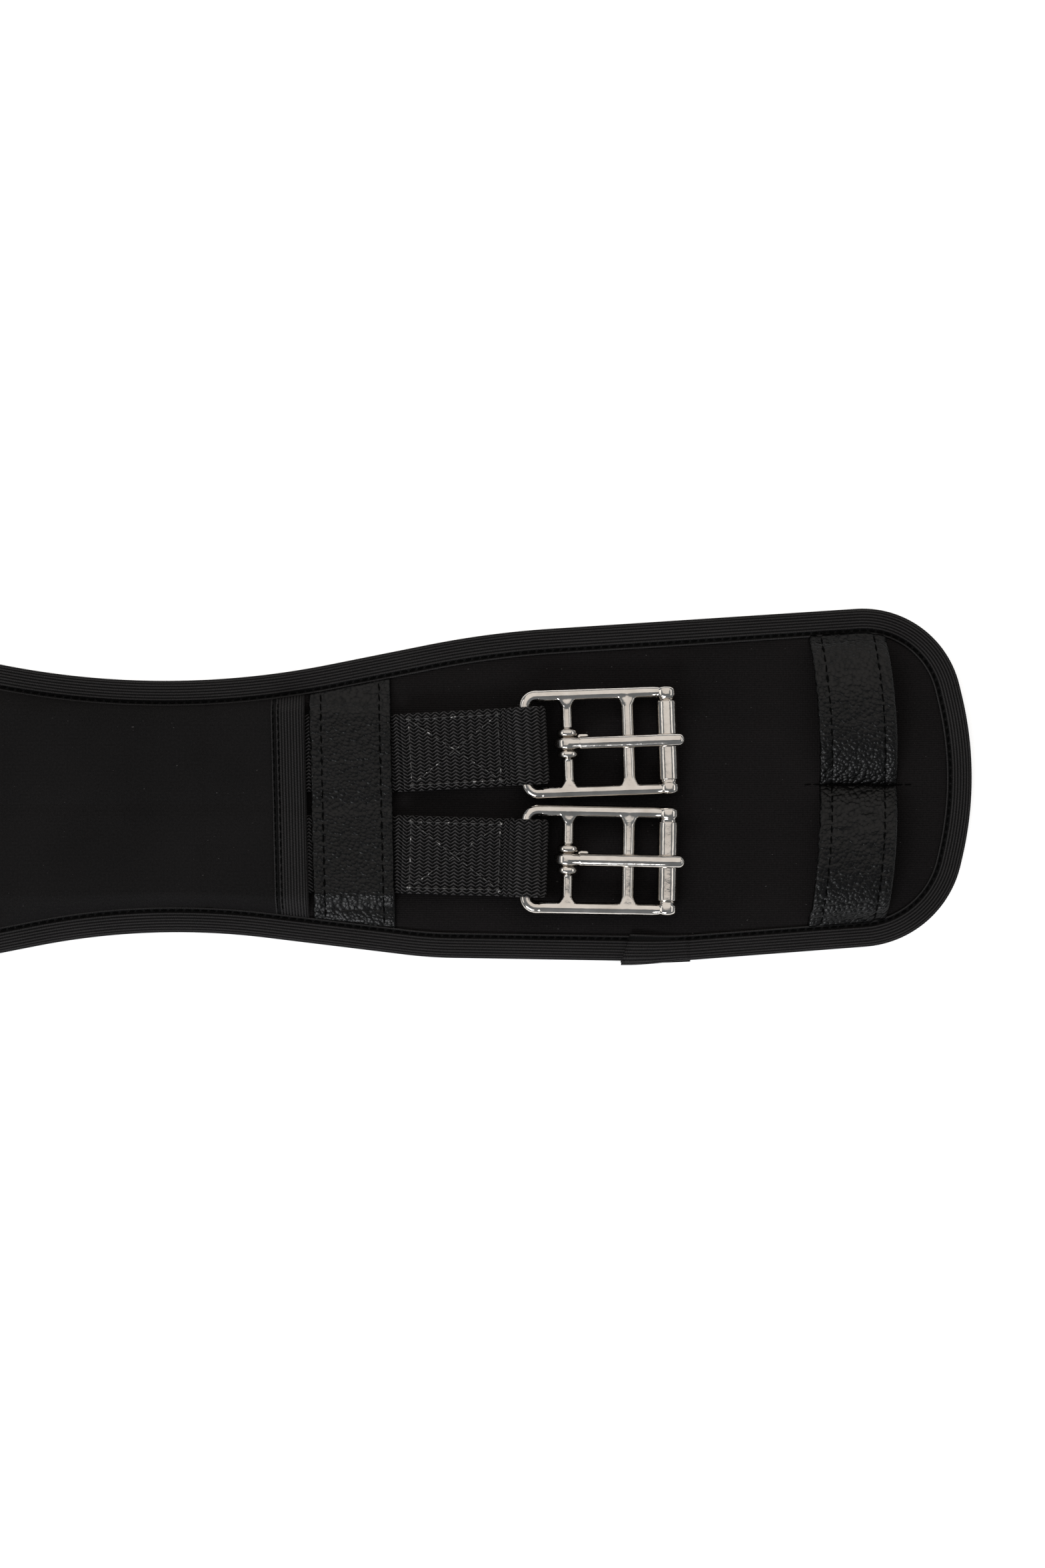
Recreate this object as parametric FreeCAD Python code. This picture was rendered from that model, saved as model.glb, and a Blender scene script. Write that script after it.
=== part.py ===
import FreeCAD, Part

import os
from math import atan2, asin, cos, degrees, hypot, pi, radians, sin, tan

# Padded saddle girth lying flat, lining down. Millimetres.
# +X runs along the girth, +Y points to the horse's front, +Z is the buckle side.
# Origin: middle of the lining, on the surface it rests on.

V = FreeCAD.Vector

# ---- driving sizes: the padded body ----
girth_length = 700.0
pad_height = 6.6
fabric = 0.6
tape = 1.0
binding_width = 8.5
lap_length = 21.0
lap_height = 1.2
lap_from_end = 113.0
flex_from_end = 255.0
tuck_gap = 0.3

# ---- driving sizes: what lies on the face ----
cover_thickness = 2.0
cover_from_end = 214.5
cover_tape_width = 10.3
web_width = 25.0
web_thickness = 2.5
drape_run = 3.0
strip_width = 26.2
strip_thickness = 1.5
strip_from_end = 199.2
strip_tilt = 1.3
thread = 0.3
thread_width = 0.8
row_inset = 3.7

# ---- driving sizes: the keeper that holds the billet ends ----
keeper_width = 25.0
keeper_thickness = 1.8
keeper_from_end = 40.3
keeper_bow = 3.7
keeper_rise = 6.4
keeper_seam_y = 0.9
keeper_foot = 2.0
keeper_ramp = 9.0
keeper_front_y = 47.0
keeper_rear_y = -42.3
seam_overrun = 3.6

# ---- driving sizes: straps and buckles ----
rest_gap = 0.3
layer_gap = 0.1
loop_slack = 2.1
loop_ramp = 4.0
rear_bar_from_end = 143.2
strap_start_from_end = 183.6
return_start_from_end = 183.0
box_start = 2.6
box_from_ramp = 2.2
box_margin = 2.0
bar_radius = 2.1
web_side_gap = 0.9
frame_gap = 1.2
pair_middle_y = -4.6
frame_corner = 3.4
tongue_bar_at = 13.3
tongue_bar_radius = 1.7
cross_bar_at = 32.7
cross_bar_radius = 2.05
roller_at = 45.3
axle_radius = 2.2
axle_clearance = 0.07
roller_radius = 3.45
roller_end_gap = 0.3
roller_seam = 0.4
boss_radius = 2.9
boss_length = 4.7
flare_radius = 3.2
flare_length = 3.0
tongue_radius = 1.8
tongue_ring_radius = 4.2
tongue_clearance = 0.1
tongue_side_gap = 0.25
tongue_tip_at = 50.4
tongue_tip_drop = 0.6
collar_radius = 2.95
collar_length = 2.7

# ---- sizes that follow ----
frame_width = web_width + 2 * web_side_gap + 4 * bar_radius
frame_y = frame_width / 2 + frame_gap / 2
end_x = girth_length / 2
flex_x = end_x - flex_from_end
web_top = pad_height + web_thickness
cover_end_x = end_x - cover_from_end
strip_x = end_x - strip_from_end
keeper_x = end_x - keeper_from_end
rear_bar_x = end_x - rear_bar_from_end
strap_start_x = end_x - strap_start_from_end
cavity = bar_radius + rest_gap
rear_bar_z = web_top + rest_gap + cavity
roller_z = pad_height + rest_gap + roller_radius
frame_pitch = degrees(asin((rear_bar_z - roller_z) / roller_at))
side_bar_y = frame_width / 2 - bar_radius
boss_y = side_bar_y + bar_radius - boss_length / 2
high = 60.0

# Each strap: where its rear bar lies across the girth and its slant in degrees,
# then the same for its buckle, then where the roller's seam faces.
STRAPS = {
    "front": (pair_middle_y + frame_y - 0.3, 3.2, pair_middle_y + frame_y, 2.0, 200.0),
    "rear": (pair_middle_y - frame_y + 0.2, -1.7, pair_middle_y - frame_y, -1.1, -25.0),
}

# Outline of the right half, clockwise from the front edge at mid length. The first
# four corners lie in front of the webbings, the last five behind them:
# distance from the end, distance beyond the webbings' outer edge, corner radius.
front_y = pair_middle_y + frame_y + web_width / 2
rear_y = pair_middle_y - frame_y - web_width / 2
FRONT_CORNERS = [
    (end_x - 20.0, 17.3, 70.0),
    (262.0, 2.4, 270.0),
    (155.5, 23.7, 300.0),
    (10.0, 33.2, 32.0),
]
END_CORNER = (-3.35, 4.0, 112.0)
REAR_CORNERS = [
    (8.8, 14.1, 34.0),
    (96.7, 20.8, 200.0),
    (174.5, 19.5, 150.0),
    (264.1, 8.6, 234.0),
    (end_x - 18.0, 21.9, 90.0),
]


def outline_corners():
    """Corners of the whole outline, clockwise, as (x, y, radius)."""
    front = [(back, front_y + beyond, r) for back, beyond, r in FRONT_CORNERS]
    rear = [(back, rear_y - beyond, r) for back, beyond, r in REAR_CORNERS]
    right = [(end_x - back, y, r) for back, y, r in front + [END_CORNER] + rear]
    left = [(-x, y, r) for x, y, r in reversed(right)]
    return right + left


def offset_corner(before, here, after, inset):
    """A corner moved towards the right of the path, with its radius to suit."""
    ax, ay = here[0] - before[0], here[1] - before[1]
    bx, by = after[0] - here[0], after[1] - here[1]
    la, lb = hypot(ax, ay), hypot(bx, by)
    ax, ay, bx, by = ax / la, ay / la, bx / lb, by / lb
    turn = ax * by - ay * bx
    share = inset / (1 + ax * bx + ay * by)
    x = here[0] + share * (ay + by)
    y = here[1] - share * (ax + bx)
    radius = here[2] - inset if turn < 0 else here[2] + inset
    return (x, y, radius)


def rounded_edges(corners, place, closed):
    """Straight runs joined by tangent arcs, put in space by place(a, b)."""
    count = len(corners)
    ends = []
    edges = []
    for i, (x, y, r) in enumerate(corners):
        if not closed and i in (0, count - 1):
            ends.append((place(x, y), place(x, y)))
            continue
        px, py, _ = corners[i - 1]
        nx, ny, _ = corners[(i + 1) % count]
        into = atan2(y - py, x - px)
        out = atan2(ny - y, nx - x)
        turn = (out - into + pi) % (2 * pi) - pi
        cut = r * tan(abs(turn) / 2)
        start = (x - cut * cos(into), y - cut * sin(into))
        stop = (x + cut * cos(out), y + cut * sin(out))
        back = r / cos(turn / 2) - r
        lean = (into + out) / 2 + (pi if abs(out - into) > pi else 0)
        side = 1 if turn > 0 else -1
        middle = (x - side * back * sin(lean), y + side * back * cos(lean))
        edges.append((i, Part.Arc(place(*start), place(*middle), place(*stop)).toShape()))
        ends.append((place(*start), place(*stop)))
    found = dict(edges)
    wire = []
    for i in range(count):
        if i in found:
            wire.append(found[i])
        if i == count - 1 and not closed:
            break
        a, b = ends[i][1], ends[(i + 1) % count][0]
        if a.distanceToPoint(b) > 1e-6:
            wire.append(Part.LineSegment(a, b).toShape())
    return wire


def prism(inset, bottom, top):
    """The girth's outline, moved inwards by inset, as a solid slab."""
    corners = outline_corners()
    count = len(corners)
    moved = [
        offset_corner(corners[i - 1], corners[i], corners[(i + 1) % count], inset)
        for i in range(count)
    ]
    edges = rounded_edges(moved, lambda x, y: V(x, y, bottom), True)
    return Part.Face(Part.Wire(edges)).extrude(V(0, 0, top - bottom))


def ribbon(path, right_side, left_side, place, push):
    """A strip between two offsets of an open path of (a, b, radius) points."""
    sides = []
    for offset in (right_side, left_side):
        moved = []
        for i, point in enumerate(path):
            if i in (0, len(path) - 1):
                j = 1 if i == 0 else -1
                k = i + j
                ax = (path[k][0] - point[0]) * j
                ay = (path[k][1] - point[1]) * j
                length = hypot(ax, ay)
                moved.append((point[0] - offset * ay / length, point[1] + offset * ax / length, 0))
            else:
                moved.append(offset_corner(path[i - 1], point, path[i + 1], -offset))
        sides.append(rounded_edges(moved, place, False))
    first, second = Part.Wire(sides[0]), Part.Wire(sides[1])
    caps = [
        Part.LineSegment(first.OrderedVertexes[k].Point, second.OrderedVertexes[k].Point).toShape()
        for k in (0, -1)
    ]
    wire = Part.Wire(Part.__sortEdges__(sides[0] + sides[1] + caps))
    return Part.Face(wire).extrude(push)


def band(x_low, x_high):
    """An upright slab across the girth whose long sides lean as the anchor strip does."""
    reach = 80.0
    lean = reach * tan(radians(strip_tilt))
    points = [
        V(x_low + lean, -reach, -1),
        V(x_high + lean, -reach, -1),
        V(x_high - lean, reach, -1),
        V(x_low - lean, reach, -1),
    ]
    return Part.Face(Part.makePolygon(points + points[:1])).extrude(V(0, 0, high))


def bowed_band(x_low, x_high):
    """An upright slab across the girth whose long sides bow outwards at the middle."""
    front, rear = keeper_front_y + 3, keeper_rear_y - 3
    points = []
    for x in (x_low, x_high):
        points.append((V(x, rear, -1), V(x + keeper_bow, (front + rear) / 2, -1), V(x, front, -1)))
    sides = [Part.Arc(*three).toShape() for three in points]
    caps = [Part.LineSegment(points[0][k], points[1][k]).toShape() for k in (0, 2)]
    wire = Part.Wire(Part.__sortEdges__(sides + caps))
    return Part.Face(wire).extrude(V(0, 0, high))


def anchor_y(place):
    """Where a strap crosses the outer edge of the anchor strip."""
    y, slant = STRAPS[place][:2]
    return y - (rear_bar_x - strap_start_x) * tan(radians(slant))


def drape_heights():
    """Underside of a sheet lying over both webbings, as (y, z) points."""
    rear, front = anchor_y("rear"), anchor_y("front")
    half = web_width / 2
    return [
        (-80.0, pad_height),
        (rear - half - drape_run, pad_height),
        (rear - half, web_top),
        (front + half, web_top),
        (front + half + drape_run, pad_height),
        (80.0, pad_height),
    ]


def draped(plan, low, top):
    """The part of a draped sheet over plan, between two heights above its underside."""
    line = drape_heights()
    points = [V(-1, y, z + low) for y, z in line] + [V(-1, y, z + top) for y, z in reversed(line)]
    length = girth_length + 2
    face = Part.Face(Part.makePolygon(points + points[:1]))
    sheet = face.extrude(V(length, 0, 0))
    sheet.translate(V(-length / 2, 0, 0))
    return sheet.common(plan)


def slice_x(shape, x_low, x_high):
    """The stretch of a shape between two places along the girth."""
    cut = Part.makeBox(x_high - x_low, 160, high + 2, V(x_low, -80, -1))
    return shape.common(cut)


def crossbar(radius, start, stop, along):
    """A round bar lying across a strap, from start to stop, at a place along it."""
    return Part.makeCylinder(radius, stop - start, V(along, start, 0), V(0, 1, 0))


def rounded(shape, radius, pick):
    """The shape with the picked edges rounded."""
    return shape.makeFillet(radius, [e for e in shape.Edges if pick(e)])


def is_circle(edge):
    return isinstance(edge.Curve, Part.Circle)


# ---- the padded body: three layers bound round the edge ----
def pad_layers():
    """Lining, neoprene core and face jersey, squeezed at the edge by the binding."""
    skin = tape + fabric
    far = pad_height - skin
    near_edge = prism(tape, tape, pad_height - tape)
    inner = binding_width + fabric
    low_skin = prism(binding_width, 0, skin).fuse(prism(tape, tape, skin))
    lining = low_skin.cut(prism(inner, fabric, skin + 1))
    top_skin = prism(binding_width, far, pad_height).fuse(prism(tape, far, pad_height - tape))
    face = top_skin.cut(prism(inner, far - 1, pad_height - fabric))
    core = prism(tape, skin, far).fuse(prism(inner, fabric, pad_height - fabric))
    binding = prism(0, 0, pad_height).cut(near_edge).cut(prism(binding_width, -1, pad_height + 1))
    return {
        "lining": lining.removeSplitter(),
        "neoprene_core": core.removeSplitter(),
        "face_jersey": face.removeSplitter(),
        "edge_binding": binding.removeSplitter(),
    }


def lap_region():
    """The stretch of the rear edge where the binding tape lies over its own start."""
    return Part.makeBox(lap_length, 80, high, V(end_x - lap_from_end, -80, -1))


def binding_lap():
    """The free end of the binding tape, lying over its own start on the rear edge."""
    cover = prism(-lap_height, 0, pad_height + lap_height).cut(prism(0, -1, pad_height))
    return cover.cut(prism(binding_width, -1, high)).common(lap_region())


def thread_ring():
    """The stitch line that holds the binding, along its inner edge."""
    outer = binding_width - 1.7
    ring = prism(outer, pad_height, pad_height + thread)
    return ring.cut(prism(outer + thread_width, 0, high))


def split(shape):
    """The left, middle and right stretches of a layer that bends at the waist."""
    return {
        "left": slice_x(shape, -end_x - 10, -flex_x),
        "middle": slice_x(shape, -flex_x, flex_x),
        "right": slice_x(shape, flex_x, end_x + 10),
    }


# ---- what is sewn on the face, at the right end ----
def inside_binding():
    return prism(binding_width + tuck_gap, -1, high)


def cover_plan(x_high):
    """The cover's plan: the whole middle of the girth, up to x_high at each end."""
    right = band(-flex_x, x_high)
    both = right.fuse(right.mirror(V(0, 0, 0), V(1, 0, 0)))
    return both.common(inside_binding())


def cover_end():
    """The ribbed tape that binds the cover's end, with its two stitch rows."""
    inner = band(cover_end_x - cover_tape_width, cover_end_x)
    lip = band(cover_end_x - tape, cover_end_x)
    clip = inside_binding()
    folded = draped(inner.common(clip), cover_thickness, cover_thickness + tape)
    folded = folded.fuse(draped(lip.common(clip), 0, cover_thickness + tape)).removeSplitter()
    start = cover_end_x - cover_tape_width + 0.8
    rows = [
        draped(
            band(x, x + thread_width).common(clip),
            cover_thickness + tape,
            cover_thickness + tape + thread,
        )
        for x in (start, start + 2 * thread_width)
    ]
    return folded, Part.makeCompound(rows)


def anchor_strip():
    """The leather strip over the webbings, and its two rows of stitches."""
    low, top = strip_x - strip_width / 2, strip_x + strip_width / 2
    clip = inside_binding()
    strip = draped(band(low, top).common(clip), 0, strip_thickness)
    rows = [
        draped(
            band(x - thread_width / 2, x + thread_width / 2).common(clip),
            strip_thickness,
            strip_thickness + thread,
        )
        for x in (low + row_inset, top - row_inset)
    ]
    return strip, Part.makeCompound(rows)


def inner_webbings():
    """Both webbings that run under the cover from end to end."""
    runs = []
    for place in STRAPS:
        y = anchor_y(place) - web_width / 2
        slant_reach = web_width / 2 * sin(radians(abs(STRAPS[place][1])))
        length = 2 * (strap_start_x - rest_gap - slant_reach)
        runs.append(Part.makeBox(length, web_width, web_thickness, V(-length / 2, y, pad_height)))
    return Part.makeCompound(runs)


def keeper():
    """The leather strip sewn down at its middle and both ends, so that it forms two loops."""
    foot = pad_height + keeper_thickness / 2
    crown = foot + keeper_rise
    seam_front = keeper_seam_y + keeper_foot
    seam_rear = keeper_seam_y - keeper_foot
    base, shoulder = 5.0, 9.0
    path = [
        (-80.0, foot, 0),
        (keeper_rear_y, foot, base),
        (keeper_rear_y + keeper_ramp, crown, shoulder),
        (seam_rear - keeper_ramp, crown, shoulder),
        (seam_rear, foot, base),
        (seam_front, foot, base),
        (seam_front + keeper_ramp, crown, shoulder),
        (keeper_front_y - keeper_ramp, crown, shoulder),
        (keeper_front_y, foot, base),
        (80.0, foot, 0),
    ]
    low, top = keeper_x - keeper_width / 2, keeper_x + keeper_width / 2
    half = keeper_thickness / 2
    start = low - 10
    push = V(keeper_width + 20 + keeper_bow, 0, 0)
    clip = inside_binding()

    def strip(bottom, top_side, x_low, x_high):
        whole = ribbon(path, bottom, top_side, lambda y, z: V(start, y, z), push)
        return whole.common(bowed_band(x_low, x_high)).common(clip)

    rows = [
        strip(half, half + thread, x - thread_width / 2, x + thread_width / 2)
        for x in (low + row_inset + 0.3, top - row_inset - 0.3)
    ]
    seam_top = pad_height + keeper_thickness
    seam = Part.makeBox(
        keeper_width - 1, thread_width, thread,
        V(low + keeper_bow + 0.5, keeper_seam_y - thread_width / 2, seam_top),
    )
    tails = [
        Part.makeBox(seam_overrun, thread_width, thread, V(x, keeper_seam_y - thread_width / 2, pad_height))
        for x in (low + keeper_bow - seam_overrun - 0.3, top + keeper_bow + 0.3)
    ]
    rows = Part.makeCompound(rows)
    seam = Part.makeCompound([seam.cut(rows)] + tails)
    return strip(-half, half, low, top), rows, seam


# ---- straps and buckles, drawn along +X from their rear bar ----
def buckle_strap(place):
    """One webbing folded round the buckle's rear bar and back on itself."""
    reach = rear_bar_x - strap_start_x
    back = rear_bar_x - (end_x - return_start_from_end)
    half = web_thickness / 2
    around = cavity + half
    return_z = web_top + rest_gap + layer_gap + half
    nose = loop_slack + around
    path = [
        (-back, return_z, 0),
        (-cavity - loop_ramp, return_z, loop_ramp),
        (-cavity, rear_bar_z + around, loop_ramp),
        (nose, rear_bar_z + around, around),
        (nose, rear_bar_z - around, around),
        (-reach, rear_bar_z - around, 0),
    ]
    push = V(0, web_width, 0)
    strap = ribbon(path, -half, half, lambda x, z: V(x, -web_width / 2, z), push)
    y, slant = STRAPS[place][:2]
    box_end = -cavity - loop_ramp - box_from_ramp
    return strap.removeSplitter(), box_stitch(box_start - back, box_end, return_z + half), y, slant


def box_stitch(x0, x1, height):
    """The sewn rectangle with a cross in it that joins the strap's two layers."""
    half = web_width / 2 - box_margin
    w = thread_width
    lines = [
        (V(x0, -half, height), V(x1, -half, height)),
        (V(x1, -half, height), V(x1, half, height)),
        (V(x1, half, height), V(x0, half, height)),
        (V(x0, half, height), V(x0, -half, height)),
        (V(x0, -half, height), V(x1, half, height)),
        (V(x0, half, height), V(x1, -half, height)),
    ]
    solid = None
    for a, b in lines:
        run = b.sub(a)
        bar = Part.makeBox(run.Length + w, w, thread, V(-w / 2, -w / 2, 0))
        bar.rotate(V(0, 0, 0), V(0, 0, 1), degrees(atan2(run.y, run.x)))
        bar.translate(a)
        solid = bar if solid is None else solid.fuse(bar)
    return solid.removeSplitter()


def buckle_frame():
    """The cast frame: bent outer bar, tongue bar with collars, cross bar and roller axle."""
    side, corner = side_bar_y, frame_corner
    path = [
        (roller_at, side, 0),
        (0, side, corner),
        (0, -side, corner),
        (roller_at, -side, 0),
    ]
    wire = Part.Wire(rounded_edges(path, lambda x, y: V(x, y, 0), False))
    ring = Part.Wire(Part.makeCircle(bar_radius, V(roller_at, side, 0), V(1, 0, 0)))
    body = wire.makePipeShell([ring], True, False)
    slab = Part.makeBox(80, 80, 2 * bar_radius - 0.4, V(-10, -40, -bar_radius + 0.2))
    for at, radius in ((tongue_bar_at, tongue_bar_radius), (cross_bar_at, cross_bar_radius)):
        body = body.fuse(crossbar(radius, -side, side, at))
        for sign in (1, -1):
            root = V(at, sign * (side - bar_radius - flare_length + 1.2), 0)
            flare = Part.makeCone(radius, flare_radius, flare_length, root, V(0, sign, 0))
            body = body.fuse(flare.common(slab))
    body = body.fuse(crossbar(axle_radius, -side, side, roller_at))
    near = tongue_radius + tongue_side_gap
    for sign in (1, -1):
        for radius, length, start, at, soft in (
            (boss_radius, boss_length, boss_y - boss_length / 2, roller_at, 1.7),
            (collar_radius, collar_length, near, tongue_bar_at, 1.1),
        ):
            low = start if sign > 0 else -start - length
            knob = crossbar(radius, low, low + length, at)
            body = body.fuse(rounded(knob, soft, is_circle))
    return body.removeSplitter()


def roller(seam_angle):
    """The rolled steel sleeve on the axle, with its open seam."""
    half = boss_y - boss_length / 2 - roller_end_gap
    sleeve = crossbar(roller_radius, -half, half, roller_at)
    sleeve = rounded(sleeve, 0.3, is_circle)
    bore = axle_radius + axle_clearance
    sleeve = sleeve.cut(crossbar(bore, -half - 1, half + 1, roller_at))
    slot = Part.makeBox(
        roller_radius + 1, 2 * half + 2, roller_seam, V(roller_at, -half - 1, -roller_seam / 2)
    )
    slot.rotate(V(roller_at, 0, 0), V(0, 1, 0), -seam_angle)
    return sleeve.cut(slot)


def tongue():
    """The round tongue, wrapped round its bar, resting on the roller."""
    start_z = tongue_ring_radius - tongue_radius
    over = roller_radius + rest_gap + tongue_radius
    tip = tongue_tip_at - tongue_radius
    path = [
        (tongue_bar_at, start_z, 0),
        (roller_at, over, 8.0),
        (tip, over - tongue_tip_drop, 0),
    ]
    wire = Part.Wire(rounded_edges(path, lambda x, z: V(x, 0, z), False))
    lean = atan2(over - start_z, roller_at - tongue_bar_at)
    circle = Part.makeCircle(tongue_radius, V(tongue_bar_at, 0, start_z), V(cos(lean), 0, sin(lean)))
    rod = wire.makePipeShell([Part.Wire(circle)], True, False)
    rod = rod.fuse(Part.makeSphere(tongue_radius, V(tip, 0, over - tongue_tip_drop)))
    ring = crossbar(tongue_ring_radius, -tongue_radius, tongue_radius, tongue_bar_at)
    ring = rounded(ring, 1.0, is_circle)
    tail_x = tongue_bar_at + collar_radius + 0.4
    tail = Part.makeBox(3.0, 2 * tongue_radius + 0.3, 1.0, V(tail_x, 1.2 - tongue_radius, 0.5))
    tail = rounded(tail, 0.4, lambda e: abs(e.tangentAt(e.FirstParameter).z) > 0.9)
    body = rod.fuse(ring).fuse(tail)
    hole = crossbar(tongue_bar_radius + tongue_clearance, -9, 9, tongue_bar_at)
    return body.cut(hole).removeSplitter()


def on_frame(shape, place):
    """A buckle piece moved from its own axes to its place on the girth."""
    y, slant = STRAPS[place][2:4]
    moved = shape.copy()
    moved.rotate(V(0, 0, 0), V(0, 1, 0), frame_pitch)
    moved.rotate(V(0, 0, 0), V(0, 0, 1), slant)
    moved.translate(V(rear_bar_x, y, rear_bar_z))
    return moved


def on_strap(shape, y, slant):
    moved = shape.copy()
    moved.rotate(V(0, 0, 0), V(0, 0, 1), slant)
    moved.translate(V(rear_bar_x, y, 0))
    return moved


def mirrored(shape):
    return shape.mirror(V(0, 0, 0), V(1, 0, 0))


def build():
    """Every piece of the girth by its node name."""
    pieces = {}
    layers = pad_layers()
    layers["binding_thread"] = thread_ring()
    layers["cover_panel"] = draped(cover_plan(cover_end_x - tape), 0, cover_thickness)
    layers["inner_webbings"] = inner_webbings()
    for name, shape in layers.items():
        for where, part in split(shape).items():
            pieces[f"{name}_{where}"] = part
    lapped = pieces["edge_binding_right"].fuse(binding_lap())
    pieces["edge_binding_right"] = lapped.removeSplitter()
    pieces["binding_thread_right"] = pieces["binding_thread_right"].cut(lap_region())

    ends = {}
    ends["cover_end_tape"], ends["cover_end_thread"] = cover_end()
    ends["anchor_strip"], ends["anchor_strip_thread"] = anchor_strip()
    ends["keeper"], ends["keeper_thread"], ends["keeper_seam_thread"] = keeper()
    for name, shape in ends.items():
        pieces[f"{name}_right"] = shape
        pieces[f"{name}_left"] = mirrored(shape)

    frame = buckle_frame()
    pin = tongue()
    for place in STRAPS:
        strap, stitch, y, slant = buckle_strap(place)
        made = {
            "buckle_strap": on_strap(strap, y, slant),
            "box_stitch": on_strap(stitch, y, slant),
            "buckle_frame": on_frame(frame, place),
            "buckle_tongue": on_frame(pin, place),
            "buckle_roller": on_frame(roller(STRAPS[place][4]), place),
        }
        for name, shape in made.items():
            pieces[f"{name}_right_{place}"] = shape
            pieces[f"{name}_left_{place}"] = mirrored(shape)
    return pieces


os.makedirs("parts", exist_ok=True)
for node, shape in build().items():
    shape.exportStep(f"parts/{node}.step")
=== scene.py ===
from math import atan2, cos, pi, radians, sin, tan

import bmesh
import bpy
import numpy as np
from mathutils import Matrix, Vector


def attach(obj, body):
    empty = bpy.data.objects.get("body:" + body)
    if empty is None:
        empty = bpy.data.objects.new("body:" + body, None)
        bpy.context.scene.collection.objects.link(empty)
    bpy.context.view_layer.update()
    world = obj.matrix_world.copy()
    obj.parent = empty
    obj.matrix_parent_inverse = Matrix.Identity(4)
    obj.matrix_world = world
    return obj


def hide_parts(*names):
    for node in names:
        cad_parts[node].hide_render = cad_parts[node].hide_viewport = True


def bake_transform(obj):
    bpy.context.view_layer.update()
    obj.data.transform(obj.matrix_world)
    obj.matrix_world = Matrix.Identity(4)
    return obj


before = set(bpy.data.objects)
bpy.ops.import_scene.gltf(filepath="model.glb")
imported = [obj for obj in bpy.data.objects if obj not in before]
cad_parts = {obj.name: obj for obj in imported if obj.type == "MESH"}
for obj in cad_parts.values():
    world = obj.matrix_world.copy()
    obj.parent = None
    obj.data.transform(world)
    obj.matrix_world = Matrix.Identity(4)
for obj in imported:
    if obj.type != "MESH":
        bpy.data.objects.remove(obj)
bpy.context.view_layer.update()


# ---- the studio ----
# A pale seamless floor under wide soft lights, and a camera that looks straight down on the
# right end of the girth.
class Wire:
    """A socket of a material's tree, or without one the tree itself. Sums, products and powers of
    wires and numbers add Math nodes."""

    def __init__(self, tree, socket=None):
        self.tree = tree
        self.socket = socket

    def node(self, kind, inputs=(), out=0, **settings):
        """Adds any node: its settings first, then the values or wires of its sockets."""
        made = self.tree.nodes.new(kind)
        for name, value in settings.items():
            setattr(made, name, value)
        for name, value in dict(inputs).items():
            if isinstance(value, Wire):
                self.tree.links.new(value.socket, made.inputs[name])
            else:
                made.inputs[name].default_value = value
        return Wire(self.tree, made.outputs[out])

    def other(self, out):
        """Another output of this wire's own node."""
        return Wire(self.tree, self.socket.node.outputs[out])

    def maths(self, operation, *others):
        """A Math node whose first value is this wire."""
        return self.node("ShaderNodeMath", enumerate((self, *others)), operation=operation)

    def __add__(self, other):
        return self.maths("ADD", other)

    __radd__ = __add__

    def __sub__(self, other):
        return self.maths("SUBTRACT", other)

    def __rsub__(self, other):
        return self.node("ShaderNodeMath", {0: other, 1: self}, operation="SUBTRACT")

    def __mul__(self, other):
        return self.maths("MULTIPLY", other)

    __rmul__ = __mul__

    def __truediv__(self, other):
        return self.maths("DIVIDE", other)

    def __pow__(self, other):
        return self.maths("POWER", other)

    def wave(self):
        """A sine wave with one crest for each whole number."""
        return (self * (2 * pi)).maths("SINE")

    def between(self, low, high):
        """0 at or below low, 1 at or above high, straight in between."""
        return self.node(
            "ShaderNodeMapRange", {"Value": self, "From Min": low, "From Max": high}
        )

    def blend(self, low, high):
        """The colour low where this is 0 and high where it is 1. Each is a wire or three numbers."""
        low, high = (end if isinstance(end, Wire) else (*end, 1) for end in (low, high))
        return self.node("ShaderNodeMix", {0: self, 6: low, 7: high}, out=2, data_type="RGBA")

    def noise(self, size, detail=3.0, stretch=(1, 1, 1)):
        """Soft noise over this vector, with features of about that size in metres."""
        place = self.node("ShaderNodeMapping", {"Vector": self, "Scale": stretch})
        return self.node(
            "ShaderNodeTexNoise", {"Vector": place, "Scale": 1 / size, "Detail": detail}
        )

    def bump(self, depth, strength=1.0):
        """A normal that shows this as a relief, depth metres high where it is 1."""
        return self.node("ShaderNodeBump", {"Height": self, "Distance": depth, "Strength": strength})


def finish(name, fixed, paint):
    """A Principled material: fixed numbers, and paint(tree) for what changes over the surface."""
    made = bpy.data.materials.new(name)
    made.use_nodes = True
    tree = made.node_tree
    shader = tree.nodes["Principled BSDF"]
    for socket, value in fixed.items():
        shader.inputs[socket].default_value = value
    for socket, wire in paint(Wire(tree)).items():
        tree.links.new(wire.socket, shader.inputs[socket])
    return made


def floor_paint(tree):
    place = tree.node("ShaderNodeTexCoord", out="Object")
    white = place.noise(0.6).blend((0.86, 0.86, 0.86), (0.88, 0.88, 0.88))
    return {"Base Color": white, "Emission Color": white}


def lay_floor(half):
    mesh = bpy.data.meshes.new("floor")
    corners = [(-half, -half, 0), (half, -half, 0), (half, half, 0), (-half, half, 0)]
    mesh.from_pydata(corners, [], [(0, 1, 2, 3)])
    fixed = {"Roughness": 0.9, "Emission Strength": 0.72}
    mesh.materials.append(finish("pale floor", fixed, floor_paint))
    made = bpy.data.objects.new("floor", mesh)
    bpy.context.scene.collection.objects.link(made)


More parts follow.
